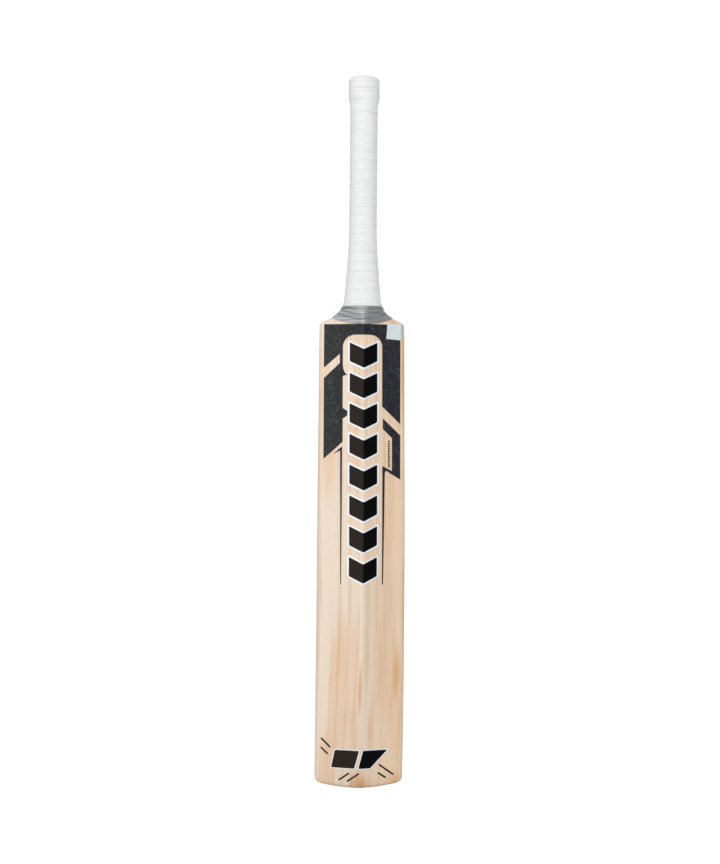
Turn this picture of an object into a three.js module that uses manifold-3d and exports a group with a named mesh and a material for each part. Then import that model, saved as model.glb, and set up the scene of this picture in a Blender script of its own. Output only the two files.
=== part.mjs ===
// A full-size short-handle cricket bat: a willow blade with a laminated cane handle spliced into it,
// twine and a rubber grip over the handle, tape over the shoulders, and thin stickers on the back.
// Millimetres. +Z runs up the handle and -Y points out of the spine (the back of the bat).
// Heights are counted from the lowest point of the toe, and the finished bat is then moved down
// so that its origin is on the handle's axis, half-way up the grip.

import * as THREE from "three";
import { mergeVertices } from "three/addons/utils/BufferGeometryUtils.js";
import Module from "manifold-3d";

const wasm = await Module();
wasm.setup();

// ---- Blade ----
const bladeLength = 562; // toe to the line of the shoulders
const toeWidth = 106;
const shoulderWidth = 102.6;
const toeDepth = 22; // face to spine at the toe
const shoulderDepth = 38;
const swellDepth = 34; // what the swell adds to the spine
const toeEdge = 17; // thickness of the edges
const shoulderEdge = 19;
const swellEdge = 20; // what the swell adds to the edges
const swellPlace = 0.38; // the swell's peak, as a share of the blade's length
const swellSharpness = 1.2;
const faceOut = 17; // handle axis to the face at the shoulders
const bowDepth = 5.5; // how far the face is set back behind its ends
const bowToe = 0.2; // the bow is level between these two shares of the blade's length
const bowShoulder = 0.52;
const toeBowShare = 0.45; // how much of the bow is left at the toe
const backHollow = 0.32; // how hollow the back is between the spine and the edges
const ridgeRounding = 0.05;
const faceCornerRadius = 7;
const backCornerRadius = 6;
const backCornerTurn = 70; // degrees
const toeCrown = 6; // the middle of the toe is this much lower than its corners
const toeCrownHeight = 60; // the crown fades out this far up
const toeCornerRadius = 10;
const toeEdgeRadius = 5;
const shoulderCurve = 1.6; // power of the shoulders' hollow curve
const shoulderRounding = 3;
const shoulderDrop = 2; // the shoulders' curve starts this far under their line

// ---- Handle ----
const handleLength = 295; // line of the shoulders to the top of the grip
const caneRadius = 13.5;
const caneBaseHalfWidth = 19.7;
const caneBaseHalfDepth = 17.3;
const flareLength = 90;
const flarePower = 1.4;
const hornRise = 19; // the blade's horns reach this far above the shoulders
const hornThickness = 1.4; // of willow beside the cane, at the tip of a horn
const spliceDepth = 109; // the splice reaches this far below the shoulders
const spliceTipHalfWidth = 3.5;
const spliceFit = 0.3;
const roundFrom = -2; // the section turns from blade to oval between these heights above the shoulders
const roundTo = 21;

// ---- Laminations ----
const slabs = 4;
const stripsPerSlab = 3;
const springThickness = 1.6;
const glueLine = 0.3;

// ---- Coverings ----
const layerGap = 0.3;
const twineThickness = 0.8;
const gripThickness = 1.8;
const gripLip = 2.7; // rubber over the end of the cane
const gripHoleRadius = 8;
const gripDomeRadius = 6;
const cuffExtra = 2.1; // the grip's thick end stands out this far
const cuffHeight = 24;
const cuffTaper = 12;
const twineInset = 2; // the twine stops this far below the cane's end
const tapeThickness = 0.8;
const tapeTurns = 4;
const tapeSideRise = 5.8; // the tape's lower edge is this much higher at the sides
const tapeLowest = -2.7; // its lowest point, from the line of the shoulders
const stickerThickness = 0.3;

// ---- Worked out ----
const hornTop = bladeLength + hornRise;
const gripTop = bladeLength + handleLength;
const tapeTop = hornTop + 1;
const gripBottom = tapeTop + layerGap;
const caneTop = gripTop - gripLip - layerGap;
const cuffBottom = gripTop - cuffHeight;
const spliceBottom = bladeLength - spliceDepth;
const gripInner = 2 * layerGap + twineThickness;
const gripOuter = gripInner + gripThickness;
const holdHeight = (gripBottom + gripTop) / 2; // the hands' place, and the origin
const degree = Math.PI / 180;
const { lerp, smoothstep } = THREE.MathUtils;

// ---- Shape of the wood, by height above the toe ----

function bladeShare(height) {
  return Math.min(Math.max(height / bladeLength, 0), 1);
}

// 0 at the toe and shoulders, 1 at the swell
function swellAt(height) {
  const power = Math.log(0.5) / Math.log(swellPlace);
  return Math.max(Math.sin(Math.PI * bladeShare(height) ** power), 0) ** swellSharpness;
}

function spineDepthAt(height) {
  return lerp(toeDepth, shoulderDepth, bladeShare(height)) + swellDepth * swellAt(height);
}

function edgeDepthAt(height) {
  return lerp(toeEdge, shoulderEdge, bladeShare(height)) + swellEdge * swellAt(height);
}

function faceAt(height) {
  const share = bladeShare(height);
  const fromToe = lerp(toeBowShare, 1, smoothstep(share, 0, bowToe));
  const toShoulder = 1 - smoothstep(share, bowShoulder, 1);
  return faceOut - bowDepth * fromToe * toShoulder;
}

function flareAt(height) {
  const share = 1 - (height - hornTop) / flareLength;
  return Math.min(Math.max(share, 0), 1) ** flarePower;
}

function caneHalfWidthAt(height) {
  return lerp(caneRadius, caneBaseHalfWidth, flareAt(height));
}

function caneHalfDepthAt(height) {
  return lerp(caneRadius, caneBaseHalfDepth, flareAt(height));
}

// Half the wood's width: the blade's sides run smoothly into the hollow curve of the shoulders
function halfWidthAt(height) {
  if (height > hornTop) {
    const above = Math.min((height - hornTop) / hornThickness, 1);
    return caneHalfWidthAt(height) + hornThickness * (1 - above);
  }
  const side = lerp(toeWidth, shoulderWidth, bladeShare(height)) / 2;
  const start = bladeLength - shoulderDrop;
  const along = (hornTop - height) / (hornTop - start);
  const horn = caneHalfWidthAt(hornTop) + hornThickness;
  const shoulder = horn + (shoulderWidth / 2 - horn) * along ** shoulderCurve;
  const apart = Math.hypot(side - shoulder, shoulderRounding * Math.min(along, 1));
  return (side + shoulder - apart) / 2;
}

// How far a rounded end has drawn in at a height under its radius
function endInset(height, radius) {
  const left = Math.max(radius - height, 0);
  return radius - Math.sqrt(Math.max(radius * radius - left * left, 0));
}

// Where each stretch of half a section ends, from the middle of the face (0) to the spine (1)
const faceEnd = 0.2;
const faceCornerEnd = 0.3;
const edgeEnd = 0.36;
const backCornerEnd = 0.46;

function share(value, from, to) {
  return (value - from) / (to - from);
}

// A point of the blade's section, on the side where x is positive
function bladePoint(height, place) {
  const width = halfWidthAt(height) - endInset(height, toeCornerRadius);
  const inset = endInset(height, toeEdgeRadius);
  const face = faceAt(height) - inset;
  const spine = faceAt(height) - spineDepthAt(height) + inset;
  const back = faceAt(height) - edgeDepthAt(height) + inset;
  const wall = face - back;
  const faceCorner = Math.min(faceCornerRadius, 0.45 * wall);
  const backCorner = Math.min(backCornerRadius, 0.45 * wall);
  if (place <= faceEnd) {
    return [share(place, 0, faceEnd) * (width - faceCorner), face];
  }
  if (place <= faceCornerEnd) {
    const turn = 90 * degree * (1 - share(place, faceEnd, faceCornerEnd));
    return [
      width - faceCorner * (1 - Math.cos(turn)),
      face - faceCorner * (1 - Math.sin(turn)),
    ];
  }
  if (place <= edgeEnd) {
    return [width, lerp(face - faceCorner, back + backCorner, share(place, faceCornerEnd, edgeEnd))];
  }
  if (place <= backCornerEnd) {
    const turn = backCornerTurn * degree * share(place, edgeEnd, backCornerEnd);
    return [width - backCorner * (1 - Math.cos(turn)), back + backCorner * (1 - Math.sin(turn))];
  }
  const [edgeX, edgeY] = bladePoint(height, backCornerEnd);
  const across = 1 - share(place, backCornerEnd, 1);
  const blunt = Math.hypot(across, ridgeRounding) - ridgeRounding;
  const rise = blunt / (Math.hypot(1, ridgeRounding) - ridgeRounding);
  return [
    edgeX * across,
    lerp(spine, edgeY, (1 + backHollow) * rise - backHollow * rise * rise),
  ];
}

// A point of the wood's section at any height: blade below, oval handle above
function woodPoint(height, place) {
  const [x, y] = bladePoint(height, place);
  const roundness = smoothstep(height, bladeLength + roundFrom, bladeLength + roundTo);
  const turn = Math.PI * (0.5 - place);
  const oval = [halfWidthAt(height) * Math.cos(turn), caneHalfDepthAt(height) * Math.sin(turn)];
  return [lerp(x, oval[0], roundness), lerp(y, oval[1], roundness)];
}

const stretches = [
  [0, faceEnd, 2],
  [faceEnd, faceCornerEnd, 3],
  [faceCornerEnd, edgeEnd, 1],
  [edgeEnd, backCornerEnd, 3],
  [backCornerEnd, 1, 7],
];
const halfPlaces = [
  0,
  ...stretches.flatMap(([from, to, steps]) =>
    Array.from({ length: steps }, (_, i) => (i + 1 === steps ? to : lerp(from, to, (i + 1) / steps))),
  ),
];

// The whole section at a height, moved outwards by skin, as points in the XY plane
function sectionAt(height, skin) {
  const half = halfPlaces.map((place) => woodPoint(height, place));
  const mirrored = half.slice(1, -1).reverse();
  const loop = [...half, ...mirrored.map(([x, y]) => [-x, y])].map(([x, y]) => new THREE.Vector2(x, y));
  return loop.map((point, i) => {
    const before = loop[(i + loop.length - 1) % loop.length];
    const after = loop[(i + 1) % loop.length];
    const along = after.clone().sub(before).normalize();
    return new THREE.Vector2(point.x - along.y * skin, point.y + along.x * skin);
  });
}

// ---- Solids ----

function solidOf(geometry) {
  const bare = geometry.clone();
  bare.deleteAttribute("normal");
  bare.deleteAttribute("uv");
  const merged = mergeVertices(bare, 1e-4);
  return new wasm.Manifold(
    new wasm.Mesh({
      numProp: 3,
      vertProperties: merged.attributes.position.array,
      triVerts: new Uint32Array(merged.index.array),
    }),
  );
}

function geometryOf(solid) {
  const mesh = solid.getMesh();
  const geometry = new THREE.BufferGeometry();
  geometry.setAttribute("position", new THREE.BufferAttribute(new Float32Array(mesh.vertProperties), 3));
  geometry.setIndex(new THREE.BufferAttribute(new Uint32Array(mesh.triVerts), 1));
  geometry.computeVertexNormals();
  return geometry;
}

// A closed solid through the wood's sections at the given heights: a cylinder whose rings are
// moved onto the sections. skin(height) is how far it stands off the wood.
function loft(heights, skin) {
  const sections = heights.map((height) => sectionAt(height, skin(height)));
  const around = sections[0].length;
  const rows = heights.length - 1;
  const geometry = new THREE.CylinderGeometry(1, 1, 1, around, rows);
  const position = geometry.attributes.position;
  for (let i = 0; i < position.count; i += 1) {
    const row = Math.round((position.getY(i) + 0.5) * rows);
    const turn = Math.atan2(position.getX(i), position.getZ(i));
    const step = (Math.round((turn / (2 * Math.PI)) * around) + around) % around;
    const section = sections[row];
    const onAxis = Math.hypot(position.getX(i), position.getZ(i)) < 0.5;
    const middle = (section[0].y + section[around / 2].y) / 2;
    const point = onAxis ? new THREE.Vector2(0, middle) : section[(around - step) % around];
    const crown = toeCrown * (point.x / (toeWidth / 2)) ** 2;
    const fade = Math.max(1 - heights[row] / toeCrownHeight, 0) ** 2;
    position.setXYZ(i, point.x, point.y, heights[row] + crown * fade);
  }
  return solidOf(geometry);
}

function spaced(from, to, pitch) {
  const steps = Math.max(Math.round((to - from) / pitch), 1);
  return Array.from({ length: steps + 1 }, (_, i) => lerp(from, to, i / steps));
}

// A flat outline seen from the back of the bat (x across, y up), carried through a range of depth
function through(shape, fromDepth, toDepth) {
  const depth = toDepth - fromDepth;
  const geometry = new THREE.ExtrudeGeometry(shape, { depth, bevelEnabled: false, curveSegments: 6 });
  geometry.rotateX(Math.PI / 2);
  geometry.translate(0, toDepth, 0);
  return solidOf(geometry);
}

function outline(points) {
  return new THREE.Shape(points.map(([x, y]) => new THREE.Vector2(x, y)));
}

function mirroredOutline(rightSide) {
  const left = rightSide.map(([x, y]) => [-x, y]).reverse();
  return outline([...rightSide, ...left]);
}

function block(xRange, yRange, zRange) {
  const size = [xRange, yRange, zRange].map(([from, to]) => to - from);
  const geometry = new THREE.BoxGeometry(...size);
  geometry.translate(
    (xRange[0] + xRange[1]) / 2,
    (yRange[0] + yRange[1]) / 2,
    (zRange[0] + zRange[1]) / 2,
  );
  return solidOf(geometry);
}

const reach = 2 * (bladeLength + handleLength); // past everything
const toeHeights = [0, 0.6, 1.8, 3.3, 5, 7.3, 10];
const shoulderHeights = spaced(bladeLength - 10, hornTop, 3);
const bladeHeights = [
  ...toeHeights,
  ...spaced(24, bowToe * bladeLength, 22),
  ...spaced(bowToe * bladeLength, bowShoulder * bladeLength, 29).slice(1),
  ...spaced(bowShoulder * bladeLength, bladeLength - 10, 27).slice(1),
  ...shoulderHeights.slice(1),
];
const handleHeights = [
  hornTop + hornThickness,
  ...spaced(hornTop + hornThickness, hornTop + flareLength, 12).slice(1),
];
const noSkin = () => 0;

// The V of the splice, widened all round by fit
function spliceWedge(fit) {
  const top = caneHalfWidthAt(hornTop) + fit;
  return mirroredOutline([
    [spliceTipHalfWidth + fit, spliceBottom - fit],
    [top, hornTop],
    [top + hornThickness, hornTop + hornThickness],
    [reach, hornTop + hornThickness],
    [reach, reach],
  ]);
}

// ---- Blade ----

function makeBlade() {
  const wood = loft(bladeHeights, noSkin);
  const slot = through(spliceWedge(spliceFit), -reach, reach);
  return wood.subtract(slot);
}

// ---- Handle: slabs of cane strips with a rubber spring between neighbouring slabs ----

function makeHandleWood() {
  const woodHeights = bladeHeights.filter((height) => height > spliceBottom - 30);
  const whole = loft([...woodHeights, ...handleHeights, caneTop], noSkin);
  return whole.intersect(through(spliceWedge(0), -reach, reach));
}

function makeLaminations() {
  const wood = makeHandleWood();
  const depth = 2 * caneRadius - (slabs - 1) * (springThickness + 2 * glueLine);
  const slabThickness = depth / slabs;
  const stripWidth = (2 * caneRadius - (stripsPerSlab - 1) * glueLine) / stripsPerSlab;
  const pitch = slabThickness + springThickness + 2 * glueLine;
  const pieces = [];
  for (let slab = 0; slab < slabs; slab += 1) {
    const middle = caneRadius - slabThickness / 2 - slab * pitch;
    const front = slab === 0 ? reach : middle + slabThickness / 2;
    const rear = slab === slabs - 1 ? -reach : middle - slabThickness / 2;
    for (let strip = 0; strip < stripsPerSlab; strip += 1) {
      const from = -caneRadius + strip * (stripWidth + glueLine);
      const left = strip === 0 ? -reach : from;
      const right = strip === stripsPerSlab - 1 ? reach : from + stripWidth;
      const cell = block([left, right], [rear, front], [0, reach]);
      pieces.push([`cane_slab_${slab + 1}_strip_${strip + 1}`, wood.intersect(cell), "cane"]);
    }
    if (slab < slabs - 1) {
      const top = middle - slabThickness / 2 - glueLine;
      const cell = block([-reach, reach], [top - springThickness, top], [0, reach]);
      pieces.push([`rubber_spring_${slab + 1}`, wood.intersect(cell), "spring"]);
    }
  }
  return pieces;
}

// ---- Coverings ----

function makeTwine() {
  const from = gripBottom + hornThickness;
  const to = caneTop - twineInset;
  const heights = [...spaced(from, hornTop + flareLength, 12), to];
  const inner = loft([from - 1, ...heights, to + 1], () => layerGap);
  const outer = loft(heights, () => layerGap + twineThickness);
  return outer.subtract(inner);
}

// The grip's outside: a plain sleeve with a thick cuff at its top end and a rounded rim
function gripSkin(height) {
  const cuff = cuffExtra * smoothstep(height, cuffBottom - cuffTaper, cuffBottom);
  return gripOuter + cuff - endInset(gripTop - height, gripDomeRadius);
}

function makeGrip() {
  const cavityTop = caneTop + layerGap;
  const flare = spaced(gripBottom, hornTop + flareLength, 10);
  const taper = spaced(cuffBottom - cuffTaper, cuffBottom, cuffTaper / 3);
  const rim = [0, 10, 25, 45, 65, 90].map((turn) => gripTop - gripDomeRadius * (1 - Math.sin(turn * degree)));
  const outer = loft([...flare, ...taper, ...rim], gripSkin);
  const inner = loft([gripBottom - 1, ...flare.slice(1), cavityTop], () => gripInner);
  const hole = new THREE.CylinderGeometry(gripHoleRadius, gripHoleRadius, 4 * gripLip, 32);
  hole.rotateX(Math.PI / 2);
  hole.translate(0, 0, gripTop);
  return outer.subtract(inner).subtract(solidOf(hole));
}

// Tape wound over the shoulders: each turn overlaps the one under it, so the sleeve is stepped
function makeTape() {
  const bottom = bladeLength + tapeLowest;
  const turnHeight = (tapeTop - bottom - tapeSideRise) / tapeTurns;
  const firstStep = bottom + tapeSideRise + turnHeight;
  const step = 0.4;
  const stops = Array.from({ length: tapeTurns - 1 }, (_, i) => firstStep + i * turnHeight);
  const layersAt = (height) => 1 + stops.filter((stop) => height > stop + step / 2).length;
  const extra = stops.flatMap((stop) => [stop, stop + step]);
  const start = bladeLength - 7;
  const base = [...shoulderHeights.filter((h) => h > start && h < tapeTop), tapeTop];
  const apart = (height) => extra.every((other) => Math.abs(other - height) > step);
  const heights = [...base.filter(apart), ...extra].sort((a, b) => a - b);
  const outer = loft(heights, (height) => layerGap + tapeThickness * layersAt(height));
  const inner = loft([start - 1, ...heights, tapeTop + 1], () => layerGap);
  const half = shoulderWidth / 2;
  const edge = new THREE.Shape();
  edge.moveTo(half, tapeTop);
  edge.lineTo(half, bottom + 2 * tapeSideRise);
  edge.quadraticCurveTo(0, bottom - 2 * tapeSideRise, -half, bottom + 2 * tapeSideRise);
  edge.lineTo(-half, tapeTop);
  return outer.subtract(inner).intersect(through(edge, -reach, reach));
}

// ---- Stickers on the back ----

const panelHalfWidth = 46;
const panelTop = bladeLength - 3.5;
const windowHalfWidth = 23.6; // the bare strip between the panels
const windowTop = panelTop - 13;
const windowCorner = 14.5;
const lineBottom = panelTop - 310.5;
const lineWidth = 2; // at the top, and lineEnd at the bottom
const lineEnd = 0.8;
const columnMargin = 5.1; // between the window's side and the column of chevrons
const columnOffset = 1; // the column is this far to the right of the spine
const columnHalfWidth = windowHalfWidth - columnMargin;
const bandTop = 113; // the lower right band's inner corner, below the top of the panels

// Each sticker's points are given down from the top of the panels
function down(points) {
  return points.map(([x, drop]) => [x, panelTop - drop]);
}

function upperPanelShape() {
  const shape = new THREE.Shape();
  const side = windowHalfWidth;
  const spur = columnOffset - columnHalfWidth - 0.7;
  const notch = -side - 3.7;
  shape.moveTo(-panelHalfWidth, panelTop);
  shape.lineTo(-panelHalfWidth, panelTop - 52.5);
  down([
    [notch, 36],
    [notch, 47],
    [-panelHalfWidth, 65],
    [-panelHalfWidth, 162],
    [-side, 141.5],
    [-side, 113.7],
    [spur, 109.9],
    [spur, 104.6],
    [-side, 100.7],
    [-side, 62.6],
    [spur, 60.7],
  ]).forEach(([x, y]) => shape.lineTo(x, y));
  shape.quadraticCurveTo(-side, panelTop - 59, -side, panelTop - 45.8);
  shape.lineTo(-side, windowTop - windowCorner);
  shape.absarc(-side + windowCorner, windowTop - windowCorner, windowCorner, Math.PI, Math.PI / 2, true);
  shape.absarc(side - windowCorner, windowTop - windowCorner, windowCorner, Math.PI / 2, 0, true);
  down([
    [side, bandTop - 14.3],
    [panelHalfWidth, bandTop + 6.8],
    [panelHalfWidth, 0],
  ]).forEach(([x, y]) => shape.lineTo(x, y));
  return shape;
}

const bandWindowDrop = 23.7; // the bare window in the band starts this far under that
const bandWindowHeight = 39.3;
const bandWindowTop = bandTop + bandWindowDrop;
const bandWindowBottom = bandWindowTop + bandWindowHeight;

function rightBandShape() {
  const inner = windowHalfWidth + 0.9;
  const band = down([
    [inner, bandTop],
    [panelHalfWidth, bandTop + 20.1],
    [panelHalfWidth, bandWindowBottom + 10.2],
    [inner + lineWidth + 0.5, bandWindowBottom - 1.5],
  ]);
  const line = [
    [inner + lineEnd, lineBottom],
    [inner, lineBottom],
  ];
  const back = down([
    [inner, bandWindowBottom - 6],
    [inner + 11.3, bandWindowBottom],
    [inner + 11.3, bandWindowTop],
    [inner, bandWindowTop - 11.3],
  ]);
  return outline([...band, ...line, ...back]);
}

function leftLineShape() {
  const inner = -windowHalfWidth - 0.9;
  const spur = down([
    [inner + 0.4, 146.6],
    [-(windowHalfWidth + panelHalfWidth) / 2, 156.4],
    [inner - lineWidth, 150.6],
  ]);
  const line = [
    [inner - lineEnd, lineBottom],
    [inner, lineBottom],
  ];
  return outline([...spur, ...line]);
}

// A column of chevrons pointing down
const chevronCount = 8;
const chevronThickness = 27;
const chevronPoint = 9;
const chevronPitch = 36.5;
const firstChevron = panelTop - 19;

function chevronShape(number) {
  const top = firstChevron - number * chevronPitch;
  const low = top - chevronThickness;
  return outline([
    [columnOffset - columnHalfWidth, top],
    [columnOffset - columnHalfWidth, low],
    [columnOffset, low - chevronPoint],
    [columnOffset + columnHalfWidth, low],
    [columnOffset + columnHalfWidth, top],
    [columnOffset, top - chevronPoint],
  ]);
}

// A ruler-like strip of short ticks on a thin stem
const tickCount = 11;
const tickMargin = 3; // to the band's window, above and below
const tickPitch = (bandWindowBottom - bandWindowTop - 2 * tickMargin) / tickCount;
const tickHeight = 1.2;
const tickWidth = 2.4;
const tickStem = 0.8;
const tickX = windowHalfWidth + 7.6;
const firstTick = panelTop - bandWindowTop - tickMargin;

function tickShape() {
  const teeth = [];
  for (let i = 0; i < tickCount; i += 1) {
    const top = firstTick - i * tickPitch;
    teeth.push([tickX + tickStem, top], [tickX + tickWidth, top]);
    teeth.push([tickX + tickWidth, top - tickHeight], [tickX + tickStem, top - tickHeight]);
  }
  const end = firstTick - (tickCount - 1) * tickPitch - tickHeight;
  return outline([[tickX, firstTick], ...teeth, [tickX, end]]);
}

// Two slanted flashes: left and right ends of the bottom edge, then of the top edge
const flashBottom = 24.6; // above the toe
const flashTop = 49.4;
const flashes = [
  [-34.8, -5, 0.6, -30.2],
  [-2.4, 13.6, 36, 3.2],
];

function flashShape([bottomLeft, bottomRight, topRight, topLeft]) {
  return outline([
    [bottomLeft, flashBottom],
    [bottomRight, flashBottom],
    [topRight, flashTop],
    [topLeft, flashTop],
  ]);
}

// Short dashes round the flashes, each from one point to another
const dashWidth = 1.5;
const dashes = [
  [-46, 62.5, -35, 51.4],
  [-46, 51, -37.6, 42.6],
  [-24.1, 9.6, -11.9, 19.6],
  [-14.2, 8.6, -0.2, 19.6],
  [24, 29.9, 41.9, 14.6],
  [22.8, 19.4, 32.6, 11.6],
];

function dashShape([fromX, fromY, toX, toY]) {
  const along = new THREE.Vector2(toX - fromX, toY - fromY).setLength(dashWidth / 2);
  return outline([
    [fromX - along.y, fromY + along.x],
    [fromX + along.y, fromY - along.x],
    [toX + along.y, toY - along.x],
    [toX - along.y, toY + along.x],
  ]);
}

const labelSize = 19;
const labelLeft = panelHalfWidth - 16.8;

function labelShape() {
  return outline([
    [labelLeft, panelTop + 1],
    [labelLeft, panelTop + 1 - labelSize],
    [labelLeft + labelSize, panelTop + 1 - labelSize],
    [labelLeft + labelSize, panelTop + 1],
  ]);
}

function makeStickers() {
  const heights = bladeHeights.filter((height) => height > 1 && height < hornTop);
  const longer = [0.6, ...heights, hornTop];
  const layer = (number) => {
    const low = layerGap * (number + 1) + stickerThickness * number;
    const outer = loft(heights, () => low + stickerThickness);
    return outer.subtract(loft(longer, () => low));
  };
  const first = layer(0);
  const second = layer(1);
  const backOnly = faceOut - bowDepth - faceCornerRadius;
  const stuck = (film, shape) => film.intersect(through(shape, -reach, backOnly));
  const chevrons = Array.from({ length: chevronCount }, (_, i) => [
    `chevron_sticker_${i + 1}`,
    stuck(first, chevronShape(i)),
    "edged_film",
  ]);
  const toeFlashes = flashes.map((flash, i) => [
    `toe_flash_sticker_${i + 1}`,
    stuck(first, flashShape(flash)),
    "edged_film",
  ]);
  const marks = dashes.map((dash, i) => [
    `toe_dash_sticker_${i + 1}`,
    stuck(first, dashShape(dash)),
    "black_film",
  ]);
  return [
    ["upper_panel_sticker", stuck(first, upperPanelShape()), "panel_film"],
    ["right_band_sticker", stuck(first, rightBandShape()), "panel_film"],
    ["left_line_sticker", stuck(first, leftLineShape()), "panel_film"],
    ["tick_sticker", stuck(first, tickShape()), "black_film"],
    ["hologram_label", stuck(second, labelShape()), "hologram_foil"],
    ...chevrons,
    ...toeFlashes,
    ...marks,
  ];
}

// ---- Assembly ----

const finishes = {
  willow: { color: 0xe6cfae, roughness: 0.5, metalness: 0 },
  cane: { color: 0xd9b77c, roughness: 0.6, metalness: 0 },
  spring: { color: 0x2b2623, roughness: 0.85, metalness: 0 },
  twine: { color: 0xd8cfbb, roughness: 0.85, metalness: 0 },
  grip_rubber: { color: 0xf0f0ee, roughness: 0.65, metalness: 0 },
  tape: { color: 0x8b8b8e, roughness: 0.55, metalness: 0 },
  panel_film: { color: 0x232427, roughness: 0.4, metalness: 0 },
  black_film: { color: 0x141110, roughness: 0.4, metalness: 0 },
  edged_film: { color: 0x1a1718, roughness: 0.35, metalness: 0 },
  hologram_foil: { color: 0xcfe6ea, roughness: 0.25, metalness: 0.6 },
};

const bat = new THREE.Group();
bat.position.z = -holdHeight;

function addPiece([name, solid, finish]) {
  const mesh = new THREE.Mesh(geometryOf(solid), new THREE.MeshStandardMaterial(finishes[finish]));
  mesh.name = name;
  bat.add(mesh);
}

[
  ["blade", makeBlade(), "willow"],
  ...makeLaminations(),
  ["handle_twine", makeTwine(), "twine"],
  ["grip_sleeve", makeGrip(), "grip_rubber"],
  ["shoulder_tape", makeTape(), "tape"],
  ...makeStickers(),
].forEach(addPiece);

export default bat;
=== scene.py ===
import math

import bmesh
import bpy
from mathutils import Matrix, Vector, noise


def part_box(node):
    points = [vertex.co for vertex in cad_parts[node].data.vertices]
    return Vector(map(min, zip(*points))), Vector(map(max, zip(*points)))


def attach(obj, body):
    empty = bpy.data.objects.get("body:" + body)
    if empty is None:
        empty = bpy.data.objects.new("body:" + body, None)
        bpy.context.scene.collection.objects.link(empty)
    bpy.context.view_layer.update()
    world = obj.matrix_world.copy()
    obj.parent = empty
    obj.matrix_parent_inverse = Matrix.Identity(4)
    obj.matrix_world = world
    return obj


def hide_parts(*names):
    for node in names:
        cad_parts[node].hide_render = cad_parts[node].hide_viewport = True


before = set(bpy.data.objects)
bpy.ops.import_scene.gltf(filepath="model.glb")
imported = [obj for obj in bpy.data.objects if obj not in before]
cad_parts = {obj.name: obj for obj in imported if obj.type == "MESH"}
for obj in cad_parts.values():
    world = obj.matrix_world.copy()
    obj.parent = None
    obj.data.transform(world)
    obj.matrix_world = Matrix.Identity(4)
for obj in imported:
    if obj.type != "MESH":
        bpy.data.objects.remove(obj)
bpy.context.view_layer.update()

mm = 0.001
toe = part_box("blade")[0].z  # lowest point of the bat; heights are counted from here, in mm
print("frame loaded")


# level with the bat's middle and a little to the left of its spine
camera = {
    "lens": 75.93,  # on a 36 mm sensor along the picture's long side
    "distance": 2.2,
    "height": 429,  # mm above the toe
    "azimuth": -3,  # degrees; negative stands to the left of the spine
    "roll": 0.5,
    "across": -1.6,  # mm
}


def placeCamera():
    data = bpy.data.cameras.new("camera")
    data.lens = camera["lens"]
    data.clip_end = 100
    eye = bpy.data.objects.new("camera", data)
    turn = math.radians(camera["azimuth"])
    away = Vector((math.sin(turn), -math.cos(turn), 0)) * camera["distance"]
    target = Vector((camera["across"] * mm, 0, toe + camera["height"] * mm))
    eye.matrix_world = (
        Matrix.Translation(target + away)
        @ (-away).to_track_quat("-Z", "Y").to_matrix().to_4x4()
        @ Matrix.Rotation(math.radians(camera["roll"]), 4, "Z")
    )
    bpy.context.scene.collection.objects.link(eye)
    bpy.context.scene.camera = eye


placeCamera()


class Value:
    # a socket that Python's own operators work on
    def __init__(self, finish, socket):
        self.finish = finish
        self.socket = socket

    def __add__(self, other):
        return self.finish.maths("ADD", self, other)

    def __sub__(self, other):
        return self.finish.maths("SUBTRACT", self, other)

    def __rsub__(self, other):
        return self.finish.maths("SUBTRACT", other, self)

    def __mul__(self, other):
        return self.finish.maths("MULTIPLY", self, other)

    def __truediv__(self, other):
        return self.finish.maths("DIVIDE", self, other)

    def __pow__(self, other):
        return self.finish.maths("POWER", self, other)

    def __gt__(self, other):
        return self.finish.maths("GREATER_THAN", self, other)

    def __rtruediv__(self, other):
        return self.finish.maths("DIVIDE", other, self)

    def __rpow__(self, other):
        return self.finish.maths("POWER", other, self)

    __radd__ = __add__
    __rmul__ = __mul__


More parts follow.
